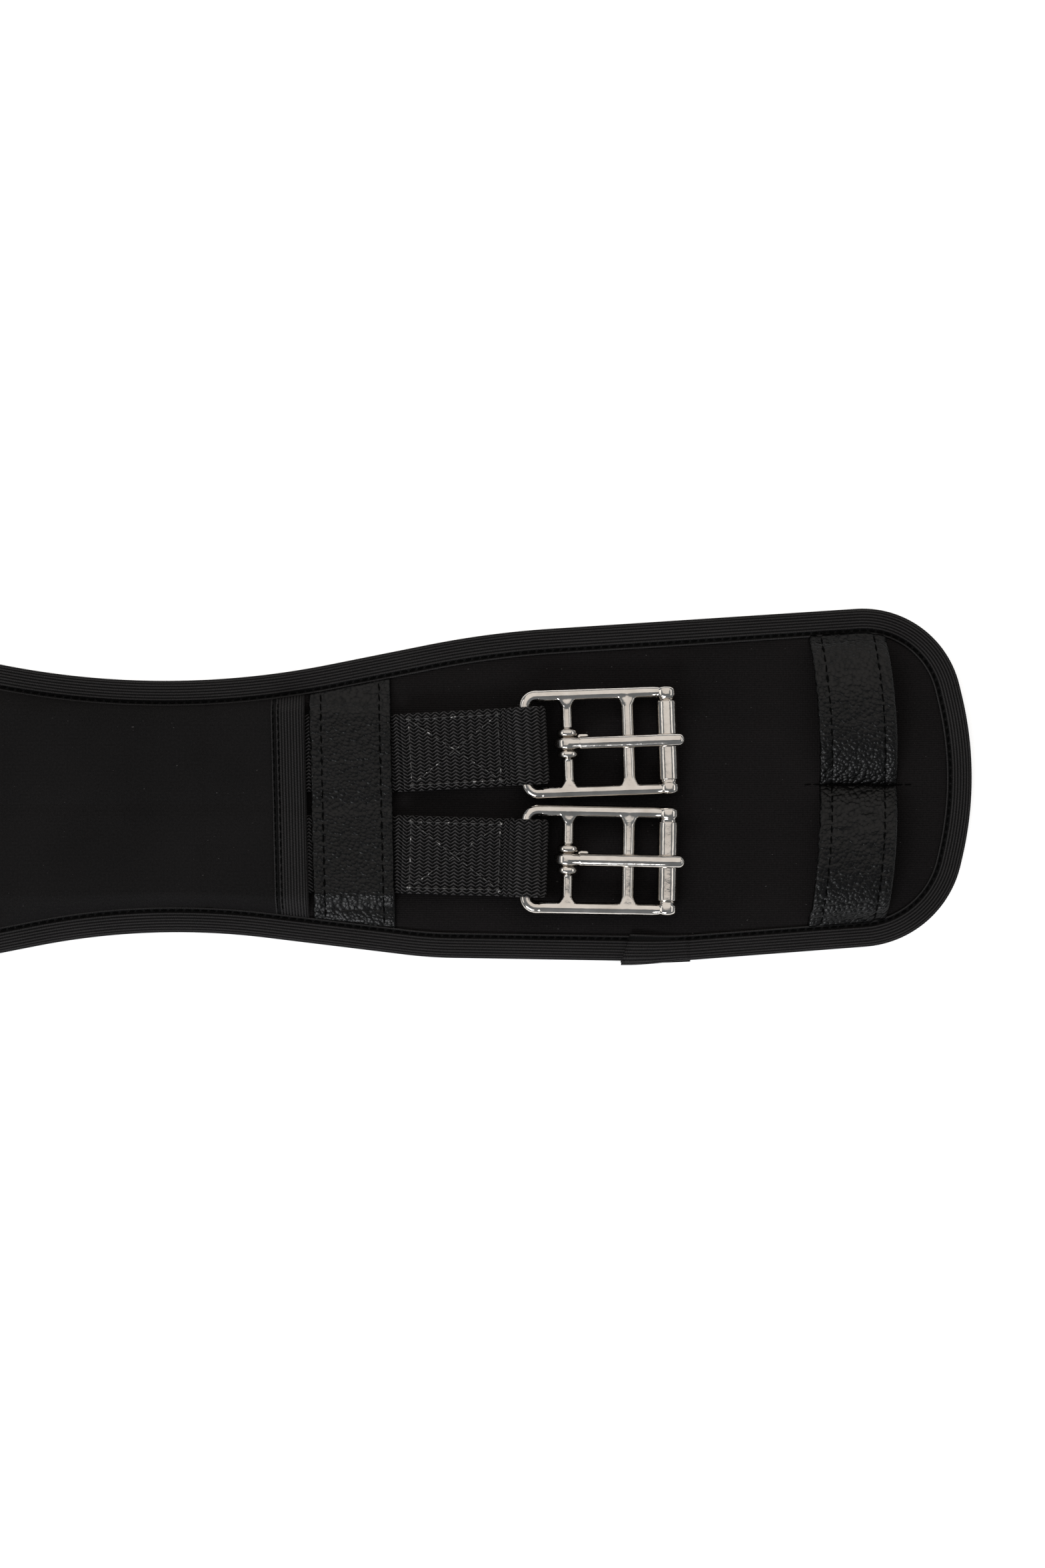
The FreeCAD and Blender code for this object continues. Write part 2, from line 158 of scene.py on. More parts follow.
def soft_light(name, place, aim, width, length, brightness, colour):
    data = bpy.data.lights.new(name, "AREA")
    data.shape = "RECTANGLE"
    data.size = width
    data.size_y = length
    data.energy = pi * width * length * brightness
    data.color = colour
    made = bpy.data.objects.new(name, data)
    made.location = place
    look = (Vector(aim) - made.location).normalized()
    made.rotation_euler = look.to_track_quat("-Z", "Y").to_euler()
    bpy.context.scene.collection.objects.link(made)


lay_floor(4.0)
view_centre = (0.2056, 0.0011)
view_height = 0.010
view_length = 0.5026
lens = 100.0
film = 36.0
camera_data = bpy.data.cameras.new("camera")
camera_data.lens = lens
camera_data.sensor_width = film
camera_data.clip_start = 0.01
camera = bpy.data.objects.new("camera", camera_data)
camera.location = (*view_centre, view_length * lens / film + view_height)
bpy.context.scene.collection.objects.link(camera)
bpy.context.scene.camera = camera
bpy.context.scene.view_settings.view_transform = "Standard"

world = bpy.data.worlds.new("studio")
world.use_nodes = True
world.node_tree.nodes["Background"].inputs["Color"].default_value = (0.88, 0.94, 1.0, 1)
world.node_tree.nodes["Background"].inputs["Strength"].default_value = 0.22
bpy.context.scene.world = world
soft_light("front light", (0.2, 1.25, 1.75), (0.2, 0, 0), 3.4, 3.4, 0.80, (1.0, 0.93, 0.86))
soft_light("rear light", (-0.47, -1.54, 1.06), (0.25, 0, 0), 1.07, 0.56, 10.0, (0.97, 0.98, 1.0))
soft_light("right light", (2.1, 0.1, 1.3), (0.2, 0, 0), 2.2, 0.5, 1.5, (1.0, 0.97, 0.93))
soft_light("left light", (-1.7, 0.1, 1.4), (0.2, 0, 0), 2.2, 0.5, 1.5, (1.0, 0.97, 0.93))


# ---- the padded body ----
# Neoprene foam between two knitted jerseys, cut to a contoured outline. Its edge is squeezed
# by the binding, and it swells to its full thickness just inside. It lies on the lining.
pad_height = 0.0066
tape = 0.0010
binding_width = 0.0085
edge_step = 0.0016
arc_points = 33
weld = 2e-6
outline = [  # corners of the right half, front to rear: x, y and the radius of the arc there
    (0.0000, 0.0434, 0),
    (0.0200, 0.0434, 0.070),
    (0.0880, 0.0285, 0.270),
    (0.1945, 0.0498, 0.300),
    (0.3400, 0.0593, 0.032),
    (0.35335, 0.0040, 0.112),
    (0.3412, -0.0494, 0.034),
    (0.2533, -0.0561, 0.200),
    (0.1755, -0.0548, 0.150),
    (0.0859, -0.0439, 0.234),
    (0.0180, -0.0572, 0.090),
    (0.0000, -0.0572, 0),
]
halves = ((1, "right"), (-1, "left"))


def unit(vector):
    return vector / np.linalg.norm(vector)


def rounded_path(corners, step):
    """Points a step apart along straight runs joined by tangent arcs, and the headings there."""
    line = [np.array(corners[0][:2])]
    for before, here, after in zip(corners, corners[1:], corners[2:]):
        into = unit(np.subtract(here[:2], before[:2]))
        out = unit(np.subtract(after[:2], here[:2]))
        turn = atan2(into[0] * out[1] - into[1] * out[0], into @ out)
        start = np.array(here[:2]) - into * here[2] * tan(abs(turn) / 2)
        spoke = np.array([into[1], -into[0]]) * (here[2] if turn > 0 else -here[2])
        for angle in np.linspace(0, turn, arc_points):
            swung = [spoke[0] * cos(angle) - spoke[1] * sin(angle),
                     spoke[0] * sin(angle) + spoke[1] * cos(angle)]
            line.append(start - spoke + swung)
    line.append(np.array(corners[-1][:2]))
    line = np.array(line)
    far = np.r_[0, np.cumsum(np.linalg.norm(np.diff(line, axis=0), axis=1))]
    places = np.linspace(0, far[-1], round(far[-1] / step) + 1)
    points = np.stack([np.interp(places, far, line[:, k]) for k in (0, 1)], 1)
    heading = np.gradient(points, axis=0)
    return points, heading / np.linalg.norm(heading, axis=1)[:, None]


edge, edge_heading = rounded_path(outline, edge_step)
edge_inward = np.stack([edge_heading[:, 1], -edge_heading[:, 0]], 1)
edge_length = edge_step * np.arange(len(edge))


def inset_line(inset):
    """The outline moved inwards, at the same stations."""
    return edge + edge_inward * np.reshape(inset, (-1, 1))


def limits(x, inset):
    """Where the inset outline's rear and front sides lie across the girth, at places along it."""
    line = inset_line(inset)
    tip = int(np.argmax(line[:, 0]))
    front = np.interp(x, line[:tip, 0], line[:tip, 1])
    rear = np.interp(x, line[tip:, 0][::-1], line[tip:, 1][::-1])
    return rear, front


def surface(name, net, flat, materials, side=1, ring=True, caps=None, column_material=None):
    """Quads over a net of points, row by row, with a UV map that holds flat, metres on the cloth.
    A ring joins the last column to the first, and flat then has one column more. side -1 makes
    the mirror image in X."""
    net = np.asarray(net, float) * (side, 1, 1)
    rows, columns = net.shape[:2]
    index = np.arange(rows * columns).reshape(rows, columns)
    wide = np.c_[index, index[:, 0]] if ring else index
    flat = np.asarray(flat, float)
    corners = [(slice(None, -1), slice(None, -1)), (slice(None, -1), slice(1, None)),
               (slice(1, None), slice(1, None)), (slice(1, None), slice(None, -1))]
    quads = np.stack([wide[c] for c in corners], -1).reshape(-1, 4)
    quad_flat = np.stack([flat[c] for c in corners], -2).reshape(-1, 4, 2)
    if caps is None:
        caps = [index[0].tolist(), index[-1][::-1].tolist()] if ring else []
    mesh = bpy.data.meshes.new(name)
    mesh.from_pydata(net.reshape(-1, 3).tolist(), [], quads.tolist() + caps)
    layer = mesh.uv_layers.new(name="cloth")
    point_flat = flat[:, :columns].reshape(-1, 2)
    values = np.concatenate([quad_flat.reshape(-1, 2)] + [point_flat[cap] for cap in caps])
    layer.data.foreach_set("uv", values.ravel())
    for material in materials:
        mesh.materials.append(material)
    if column_material is not None:
        chosen = np.r_[np.tile(column_material, rows - 1), np.zeros(len(caps))].astype(np.int32)
        mesh.polygons.foreach_set("material_index", chosen)
    mesh.polygons.foreach_set("use_smooth", np.ones(len(mesh.polygons), bool))
    work = bmesh.new()
    work.from_mesh(mesh)
    bmesh.ops.remove_doubles(work, verts=work.verts, dist=weld)
    bmesh.ops.recalc_face_normals(work, faces=work.faces)
    work.to_mesh(mesh)
    work.free()
    made = bpy.data.objects.new(name, mesh)
    bpy.context.scene.collection.objects.link(made)
    return made


def bend_at_waist(piece):
    """Bakes a piece's placement into its mesh."""
    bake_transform(piece)


def cloth_place(tree):
    """The cloth's own coordinates: the vector, then how far along and across, in metres."""
    place = tree.node("ShaderNodeUVMap", uv_map="cloth")
    along = place.node("ShaderNodeSeparateXYZ", {"Vector": place})
    return place, along, along.other("Y")


def jersey_paint(dark, light, pitch, speck):
    """Fine knit: wales run along the girth, each a row of tiny loops, with stray lint."""

    def paint(tree):
        place, along, across = cloth_place(tree)
        drift = place.noise(0.004) * 0.25
        wale = (across / pitch + drift).wave()
        loop = (along / (pitch * 1.3) + drift * 3).wave()
        patch = place.noise(0.035, 4.0).between(0.35, 0.7)
        fuzz = place.noise(0.0007, 2.0).between(0.35, 0.75)
        lint = place.noise(0.0016, 1.0, (1, 2.2, 1)).between(0.775, 0.80) * speck
        tone = (wale * 0.18 + 0.35) + fuzz * 0.35 + patch * 0.25
        colour = tone.between(0, 1.0).blend(dark, light)
        height = wale * 0.5 + loop * 0.22 + fuzz * 0.6
        return {
            "Base Color": lint.blend(colour, (0.09, 0.085, 0.085)),
            "Roughness": patch * 0.08 + 0.86,
            "Normal": height.bump(0.00012, 0.7),
        }

    return paint


cloth_fixed = {"Specular IOR Level": 0.06}
face_jersey = finish(
    "face jersey", cloth_fixed,
    jersey_paint((0.0022, 0.0020, 0.0021), (0.0140, 0.0125, 0.0128), 0.00060, 0.8),
)
lining_jersey = finish(
    "lining jersey", cloth_fixed,
    jersey_paint((0.0040, 0.0040, 0.0043), (0.0150, 0.0145, 0.0155), 0.00085, 0.3),
)


def pad_half(side, word):
    """Rings at growing depths inside the outline, drawn in at last to a spine along the girth."""
    depths = np.array([1.2, 3, 6, 8.0, 8.8, 9.6, 10.8, 12.4, 14.6, 18]) / 1000
    spine_end, spine_y = 0.304, -0.004
    swell_run = 0.0024
    under_cloth = 0.00002
    rings = [inset_line(d) for d in depths]
    innermost = rings[-1]
    spine = np.stack([np.minimum(edge[:, 0], spine_end), np.full(len(edge), spine_y)], 1)
    for share in (0.3, 0.65, 1.0):
        rings.append(innermost * (1 - share) + spine * share)
    depth = np.r_[depths, 0.022, 0.028, 0.034]
    swell = 1 - np.exp(-np.maximum(depth - binding_width, 0) / swell_run)
    sink = tape * 0.9
    top = pad_height - sink + (sink - under_cloth) * swell
    low = sink * (1 - swell)
    net = [np.c_[r, np.full(len(r), z)] for r, z in zip(rings[::-1], top[::-1])]
    net += [np.c_[r, np.full(len(r), z)] for r, z in zip(rings, low)]
    net = np.stack(net, 1)
    columns = net.shape[1]
    cap = list(range(columns)) + [(len(edge) - 1) * columns + k for k in range(columns - 1, -1, -1)]
    face_or_lining = [0] * (columns // 2) + [1] * (columns - 1 - columns // 2)
    pad = surface(
        f"pad_{word}", net, net[:, :, :2], [face_jersey, lining_jersey], side,
        ring=False, caps=[cap], column_material=face_or_lining,
    )
    layers = ("lining", "neoprene_core", "face_jersey")
    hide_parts(*[f"{layer}_{word}" for layer in layers])
    if side > 0:
        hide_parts(*[f"{layer}_middle" for layer in layers])
    bend_at_waist(pad)


for side, word in halves:
    pad_half(side, word)


# ---- the edge binding ----
# A woven elastic tape with fine ribs along it, folded over the pad's edge and sewn through.
# It starts and ends on the rear edge, where the cut end lies over the tape's own start.
rib_pitch = 0.00095
rib_step = rib_pitch / 5
rib_height = 0.00028
row_groove = 0.00055
stitch_inset = 0.0014
ripple_height, ripple_run = 0.00022, 40
lap_from, lap_to = 0.2375, 0.2600
lap_lift = 0.0014
lap_slant, lap_spare = 0.0028, 0.0012


def rib_paint(dark, light, pitch):
    """Woven tape: cords along it, crossed by fine weft in short dashes; painted highlight and shade.
    """

    def paint(tree):
        place, along, across = cloth_place(tree)
        # Painted highlight: the colour is lighter on each rib's crest and darker between the ribs.
        painted_crest_light = (across / pitch - 0.25).wave()
        row = (across / pitch).maths("FLOOR")
        weft = (along / 0.00055 + row * 0.5).wave()
        fuzz = place.noise(0.0006, 2.0)
        patch = place.noise(0.02, 3.0)
        # Painted shade: the colour darkens in the groove along the stitch row.
        painted_groove_shade = (across - stitch_inset).maths("ABSOLUTE").between(0.0002, 0.0008)
        tone = (painted_crest_light * 0.34 + weft * 0.12 + fuzz * 0.5 + patch * 0.2) * (painted_groove_shade * 0.85 + 0.15)
        height = weft * 0.5 + fuzz * 0.7
        return {
            "Base Color": tone.between(0.05, 0.85).blend(dark, light),
            "Roughness": fuzz * 0.2 + 0.5,
            "Normal": height.bump(0.00010, 0.7),
        }

    return paint


binding_tape = finish(
    "binding tape", {"Specular IOR Level": 0.10},
    rib_paint((0.0008, 0.0007, 0.0008), (0.034, 0.0322, 0.0326), rib_pitch),
)


def fold_section(low_reach):
    """The tape's section where it folds over the edge, as distance inwards and height, ribs and
    all: down the outside, then back along the inside. Also how far round it each point is, and
    the way out."""
    top = pad_height - 0.00008
    line = [(binding_width, top - 0.00025, 0), (binding_width - 0.0009, top + 0.0001, 0.0010),
            (0.0040, top, 0.004), (0.0000, top - 0.0008, 0.0024), (0.0000, 0.0008, 0.0024),
            (0.0040, 0.0001, 0.004), (low_reach, 0.0002, 0)]
    outer, heading = rounded_path(line, rib_step)
    out = np.stack([heading[:, 1], -heading[:, 0]], 1)
    far = rib_step * np.arange(len(outer))
    rib = rib_height * np.abs(np.sin(pi * far / rib_pitch)) - rib_height
    for row in (stitch_inset, far[-1] - stitch_inset):
        rib -= row_groove * np.exp(-((far - row) / 0.0004) ** 2)
    skin = outer + out * rib[:, None]
    inner = (outer - out * tape)[::-6]
    return np.r_[skin, inner], np.r_[far, far[::-6]], np.r_[out, out[::-6]]


def sweep_edge(stations, section, flat_across):
    """The section carried along stations of the outline."""
    inset, height = section[:, 0], section[:, 1]
    points = edge[stations][:, None] + edge_inward[stations][:, None] * inset[None, :, None]
    net = np.concatenate([points, np.broadcast_to(height[None, :, None], points.shape[:2] + (1,))], 2)
    round_tape = np.r_[flat_across, 0]
    flat = np.stack(np.broadcast_arrays(edge_length[stations][:, None], round_tape[None]), -1)
    return net, flat


def bound_edge(side, word):
    """The tape round one half, its inner edge a little uneven."""
    section, far, _ = fold_section(binding_width)
    wander = np.random.default_rng(5 + side)
    net, flat = sweep_edge(np.arange(len(edge)), section, far)
    steps = wander.normal(0, 1, len(edge) + ripple_run)
    soften = np.hanning(ripple_run + 1) / (ripple_run / 2)
    ripple = np.convolve(steps, soften, "valid")[: len(edge)]
    inner = np.clip((section[:, 0] - 0.004) / 0.0045, 0, 1)
    net[:, :, :2] += edge_inward[:, None] * (ripple[:, None] * inner[None] * ripple_height)[..., None]
    piece = surface(f"edge_binding_{word}_tape", net, flat, [binding_tape], side)
    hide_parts(f"edge_binding_{word}")
    if side > 0:
        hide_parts("edge_binding_middle")
    bend_at_waist(piece)


for side, word in halves:
    bound_edge(side, word)


def lapped_end():
    """The tape's free end, lying over its own start and sinking into line with it."""
    section, far, out = fold_section(0.0040)
    rear = edge[:, 1] < 0
    stations = np.flatnonzero(rear & (edge[:, 0] > lap_from) & (edge[:, 0] < lap_to))
    net, flat = sweep_edge(stations, section, far)
    x = edge[stations, 0]
    fade = np.clip((lap_to - x) / (lap_to - lap_from), 0, 1)
    lift = lap_lift * (fade * fade * (3 - 2 * fade))
    move = lift[:, None, None] * out[None]
    net[:, :, :2] += edge_inward[stations][:, None] * move[..., :1]
    net[:, :, 2] = np.maximum(net[:, :, 2] + move[..., 1], 0.0001)
    slant = np.clip((binding_width - section[:, 0]) / binding_width, 0, 1) * -lap_slant + lap_spare
    net[-1, :, 0] += slant
    piece = surface("edge_binding_right_lap", net, flat, [binding_tape])
    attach(piece, "pad_right")


lapped_end()


# ---- the binding's stitches ----
# Bonded thread. One lockstitch row is sewn just inside the tape's edge, through tape and pad, and
# shows on both faces.
def thread_paint(dark, light, share):
    """Twisted thread: dark, with a glint painted into its colour on some of its turns."""

    def paint(tree):
        place = tree.node("ShaderNodeTexCoord", out="Object")
        twist = place.noise(0.0005, 2.0, (1, 3, 1))
        # Painted glint: the colour turns light on a few spots of the thread, where the noise peaks.
        painted_glint = place.noise(0.0011, 1.0).between(1 - share, 1.02 - share)
        return {
            "Base Color": (twist * 0.25 + painted_glint * 0.9).between(0.05, 1.0).blend(dark, light),
            "Roughness": twist * 0.3 + 0.30,
        }

    return paint


thread_finish = finish(
    "bonded thread", {"Specular IOR Level": 0.03}, thread_paint((0.0009,) * 3, (0.005,) * 3, 0.3)
)


def stitch_row_tree():
    """Geometry Nodes that lay stitches, a pitch apart, along every line of a curve."""
    tree = bpy.data.node_groups.new("stitch row", "GeometryNodeTree")
    tree.is_modifier = True
    sockets = tree.interface
    sockets.new_socket("Lines", in_out="INPUT", socket_type="NodeSocketGeometry")
    for name in ("Pitch", "Length", "Thickness"):
        sockets.new_socket(name, in_out="INPUT", socket_type="NodeSocketFloat")
    sockets.new_socket("Seed", in_out="INPUT", socket_type="NodeSocketInt")
    sockets.new_socket("Thread", in_out="INPUT", socket_type="NodeSocketMaterial")
    sockets.new_socket("Stitches", in_out="OUTPUT", socket_type="NodeSocketGeometry")
    given = tree.nodes.new("NodeGroupInput").outputs
    new, link = tree.nodes.new, tree.links.new
    spots = new("GeometryNodeCurveToPoints")
    spots.mode = "LENGTH"
    link(given["Lines"], spots.inputs["Curve"])
    link(given["Pitch"], spots.inputs["Length"])
    stitch = new("GeometryNodeMeshUVSphere")
    stitch.inputs["Segments"].default_value = 8
    stitch.inputs["Rings"].default_value = 5
    stitch.inputs["Radius"].default_value = 0.5
    size = new("ShaderNodeCombineXYZ")
    link(given["Length"], size.inputs["X"])
    link(given["Thickness"], size.inputs["Y"])
    link(given["Thickness"], size.inputs["Z"])
    sway = new("FunctionNodeRandomValue")
    sway.data_type = "FLOAT_VECTOR"
    sway.inputs["Min"].default_value = (0, -0.03, -0.09)
    sway.inputs["Max"].default_value = (0, 0.03, 0.13)
    link(given["Seed"], sway.inputs["Seed"])
    aim = new("FunctionNodeAlignRotationToVector")
    aim.axis = "X"
    link(spots.outputs["Tangent"], aim.inputs["Vector"])
    turned = new("FunctionNodeRotateRotation")
    turned.rotation_space = "LOCAL"
    link(aim.outputs["Rotation"], turned.inputs["Rotation"])
    link(sway.outputs["Value"], turned.inputs["Rotate By"])
    laid = new("GeometryNodeInstanceOnPoints")
    link(spots.outputs["Points"], laid.inputs["Points"])
    link(stitch.outputs["Mesh"], laid.inputs["Instance"])
    link(turned.outputs["Rotation"], laid.inputs["Rotation"])
    link(size.outputs["Vector"], laid.inputs["Scale"])
    real = new("GeometryNodeRealizeInstances")
    link(laid.outputs["Instances"], real.inputs["Geometry"])
    smooth = new("GeometryNodeSetShadeSmooth")
    link(real.outputs["Geometry"], smooth.inputs["Geometry"])
    dressed = new("GeometryNodeSetMaterial")
    link(smooth.outputs["Geometry"], dressed.inputs["Geometry"])
    link(given["Thread"], dressed.inputs["Material"])
    link(dressed.outputs["Geometry"], new("NodeGroupOutput").inputs["Stitches"])
    return tree


stitch_row = stitch_row_tree()
binding_stitch = (0.0026, 0.0022, 0.00042)


def stitches(name, lines, pitch, length, thickness, side=1, seed=1, thread=thread_finish):
    """Rows of stitches along lines of points, as one mesh. Pitch, length and thickness in metres."""
    curve = bpy.data.curves.new(name, "CURVE")
    curve.dimensions = "3D"
    for line in lines:
        spline = curve.splines.new("POLY")
        spline.points.add(len(line) - 1)
        placed = np.c_[np.asarray(line) * (side, 1, 1), np.ones(len(line))]
        spline.points.foreach_set("co", placed.ravel())
    row = bpy.data.objects.new(name, curve)
    bpy.context.scene.collection.objects.link(row)
    sewn = row.modifiers.new("stitches", "NODES")
    sewn.node_group = stitch_row
    values = {
        "Pitch": pitch, "Length": length, "Thickness": thickness, "Seed": seed, "Thread": thread,
    }
    for socket in stitch_row.interface.items_tree:
        if socket.name in values:
            sewn[socket.identifier] = values[socket.name]
    graph = bpy.context.evaluated_depsgraph_get()
    mesh = bpy.data.meshes.new_from_object(row.evaluated_get(graph))
    bpy.data.objects.remove(row)
    made = bpy.data.objects.new(name, mesh)
    bpy.context.scene.collection.objects.link(made)
    return made


def binding_row(side, word):
    line = inset_line(binding_width - stitch_inset)
    over = np.c_[line, np.full(len(line), pad_height - 0.00030)]
    under = np.c_[line, np.full(len(line), 0.00032)]
    row = stitches(f"binding_stitches_{word}", [over, under], *binding_stitch, side, 3)
    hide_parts(f"binding_thread_{word}")
    if side > 0:
        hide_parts("binding_thread_middle")
    bend_at_waist(row)


for side, word in halves:
    binding_row(side, word)


# ---- the webbings ----
# Two heavy woven webbings run the whole length on the pad's face. Past the anchor strip each
# is folded round a buckle's rear bar, turned back on itself and sewn down with a box and cross.
web_width = 0.0250
web_thickness = 0.0025
web_rib_pitch = 0.0028
web_bulge = 0.00030
anchor_x = 0.1664
inner_end_x = 0.157
rear_bar_x = 0.2068
fold_top = 0.01075
box_stitch = (0.0027, 0.0022, 0.00046)
straps = {  # where the strap lies across the girth at the rear bar, and its slant in degrees
    "front": (0.0133, 3.2),
    "rear": (-0.0226, -1.7),
}


def webbing_paint(tree):
    """Heavy webbing: crosswise ribs, each of two columns of slanting strands that meet in a point."""
    place, along, across = cloth_place(tree)
    rib = along / web_rib_pitch
    zigzag = (rib * 2).maths("PINGPONG", 1.0)
    strand = (across / 0.00112 + zigzag * 0.85).wave()
    # Painted highlight and shade: the colour is lighter on each rib's crest and darker in the valley
    # between.
    painted_rib_shading = (rib + 0.25).wave() * 0.5 + 0.5
    fuzz = place.noise(0.0005, 2.0)
    patch = place.noise(0.012, 3.0)
    tone = strand * 0.62 + painted_rib_shading * 0.42 + fuzz * 0.60 + patch * 0.10
    height = strand * 0.8 + fuzz * 0.6
    return {
        "Base Color": tone.between(0.35, 1.20).blend((0.0005,) * 3, (0.066, 0.0630, 0.0640)),
        "Roughness": fuzz * 0.25 + 0.36,
        "Normal": height.bump(0.00034),
    }


webbing_finish = finish("woven webbing", {"Specular IOR Level": 0.10}, webbing_paint)
# The box-and-cross thread is black; its light colour is a painted glint.
glint_painted_thread = finish(
    "thread with painted glints", {"Specular IOR Level": 0.6},
    thread_paint((0.003,) * 3, (0.42, 0.41, 0.40), 0.36),
)


def band_section(width, thickness, across_count, rim_count=4):
    """A flat band's section with round edges: places across it and the heights there."""
    half, rim = width / 2, thickness / 2
    flat = np.linspace(-half + rim, half - rim, across_count)
    turn = np.linspace(-pi / 2, pi / 2, rim_count + 2)[1:-1]
    right_rim, left_rim = half - rim + rim * np.cos(turn)[::-1], -half + rim - rim * np.cos(turn)
    across = np.r_[flat, right_rim, flat[::-1], left_rim]
    height = np.r_[np.full(across_count, rim), rim * np.sin(turn)[::-1],
                   np.full(across_count, -rim), rim * np.sin(turn)]
    return across, height


def webbing_run(name, path, side, place=None):
    """Webbing along a path of (x, z, radius) corners, ribbed across; place puts it on the girth."""
    step = web_rib_pitch / 8
    line, heading = rounded_path(path, step)
    far = step * np.arange(len(line))
    up = np.stack([-heading[:, 1], heading[:, 0]], 1)
    across, height = band_section(web_width, web_thickness - web_bulge, 15)
    bulge = web_bulge * (0.2 + 0.8 * np.cos(2 * pi * far / web_rib_pitch))
    broad = np.clip((web_width / 2 - np.abs(across)) / 0.0012, 0.25, 1) * np.sign(height)
    lift = height[None] + bulge[:, None] * broad[None]
    sway = 1 + 0.004 * np.cos(2 * pi * far / web_rib_pitch)
    net = np.empty((len(line), len(across), 3))
    net[..., 0] = line[:, :1] + up[:, :1] * lift
    net[..., 1] = across[None] * sway[:, None]
    net[..., 2] = line[:, 1:] + up[:, 1:] * lift
    flat_across = np.r_[across, across[0]]
    flat = np.stack(np.broadcast_arrays(far[:, None], flat_across[None]), -1)
    if place is not None:
        net = net @ np.array(place.to_3x3()).T + np.array(place.translation)
    piece = surface(name, net, flat, [webbing_finish], side)
    return piece


def strap_place(place):
    """Where a strap's own X, Y and Z lie on the girth, from the rear bar."""
    across, slant = straps[place]
    return Matrix.Translation((rear_bar_x, across, 0)) @ Matrix.Rotation(radians(slant), 4, "Z")


def anchor_y(place):
    """Where a strap comes out of the anchor strip, across the girth."""
    across, slant = straps[place]
    return across - (rear_bar_x - anchor_x) * tan(radians(slant))


def inner_run(side, word, place):
    """The webbing's run under the cover. One CAD node stands for both runs of a half."""
    level = pad_height + web_thickness / 2
    path = [(0, level, 0), (inner_end_x, level, 0)]
    put = Matrix.Translation((0, anchor_y(place), 0))
    piece = webbing_run(f"inner_webbing_{word}_{place}", path, side, put)
    bend_at_waist(piece)
    if place == "front":
        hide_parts(f"inner_webbings_{word}")
        if side > 0:
            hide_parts("inner_webbings_middle")


def strap(side, word, place):
    """The webbing round the rear bar: from its turned-back end, over the bar, and home under it."""
    path = [
        (-0.0398, fold_top, 0),
        (-0.0064, fold_top, 0.0040),
        (-0.0024, 0.01545, 0.0040),
        (0.0030, 0.01545, 0.0045),
        (0.00575, 0.0128, 0.0023),
        (0.00575, 0.00815, 0.00360),
        (-0.0385, 0.00815, 0.0080),
        (-0.0430, 0.00785, 0.0080),
        (-0.0485, 0.00785, 0),
    ]
    piece = webbing_run(f"strap_{word}_{place}", path, side, strap_place(place))
    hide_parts(f"buckle_strap_{word}_{place}")
    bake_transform(piece)


def box_and_cross(side, word, place):
    """Stitches round a box and along its two diagonals, on the fold's top."""
    near, far_end, half = -0.0372, -0.0086, 0.0105
    level = fold_top + web_thickness / 2 + 0.00014
    box = [(near, -half), (far_end, -half), (far_end, half), (near, half), (near, -half)]
    cross = [((near, -half), (far_end, half)), ((near, half), (far_end, -half))]
    put = np.array(strap_place(place))
    points = 24
    t = np.linspace(0, 1, points)[:, None]
    lines = []
    for start, stop in list(zip(box, box[1:])) + cross:
        flat = np.array(start) * (1 - t) + np.array(stop) * t
        line = np.c_[flat, np.full(points, level), np.ones(points)] @ put.T
        lines.append(line[:, :3])
    sewn = stitches(f"box_and_cross_{word}_{place}", lines, *box_stitch, side, 7, glint_painted_thread)
    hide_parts(f"box_stitch_{word}_{place}")
    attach(sewn, f"strap_{word}_{place}")


for side, word in halves:
    for place in straps:
        inner_run(side, word, place)
        strap(side, word, place)
        box_and_cross(side, word, place)


# ---- the cover panel ----
# A smoother knitted panel over thin foam that covers the webbings in the middle of the girth.
# Its long edges are caught under the binding, and a ribbed tape binds each of its ends.
cover_thickness = 0.0020
cover_end_x = 0.1355
cover_tape_width = 0.0103
tape_overlap = 0.0012
cover_edge_height = 0.0061
cover_run, cover_dip, cover_tuck = 0.007, 0.0006, 0.0055
crease_x, crease_depth, crease_width = 0.1046, 0.00045, 0.0011
tape_stitch = (0.0026, 0.0023, 0.00045)
tilt = tan(radians(1.3))
cover_jersey = finish(
    "cover jersey", cloth_fixed,
    jersey_paint((0.0040, 0.0038, 0.0039), (0.0145, 0.0136, 0.0138), 0.00040, 0.7),
)


def smooth_step(t):
    t = np.clip(t, 0, 1)
    return t * t * (3 - 2 * t)


def over_webbings(y, run, dip):
    """How high a sheet is lifted by the webbings under it, with a dip between the two."""
    rise = np.zeros_like(y)
    for place in straps:
        side_gap = np.abs(y - anchor_y(place)) - web_width / 2
        rise = np.maximum(rise, web_thickness * smooth_step(1 - side_gap / run))
    middle = (anchor_y("front") + anchor_y("rear")) / 2
    reach, dip_width = 0.012, 0.0028
    bridge = web_thickness - dip * np.exp(-((y - middle) / dip_width) ** 2)
    return np.where(np.abs(y - middle) < reach, np.minimum(bridge, web_thickness), rise)


def tucked(y, rear, front, reach):
    """1 in the open, falling to 0 at the binding's edge, where a sheet is caught under the tape."""
    inside = np.minimum(y - rear, front - y)
    return np.sin(np.clip(inside / reach, 0, 1) * pi / 2) ** 0.8


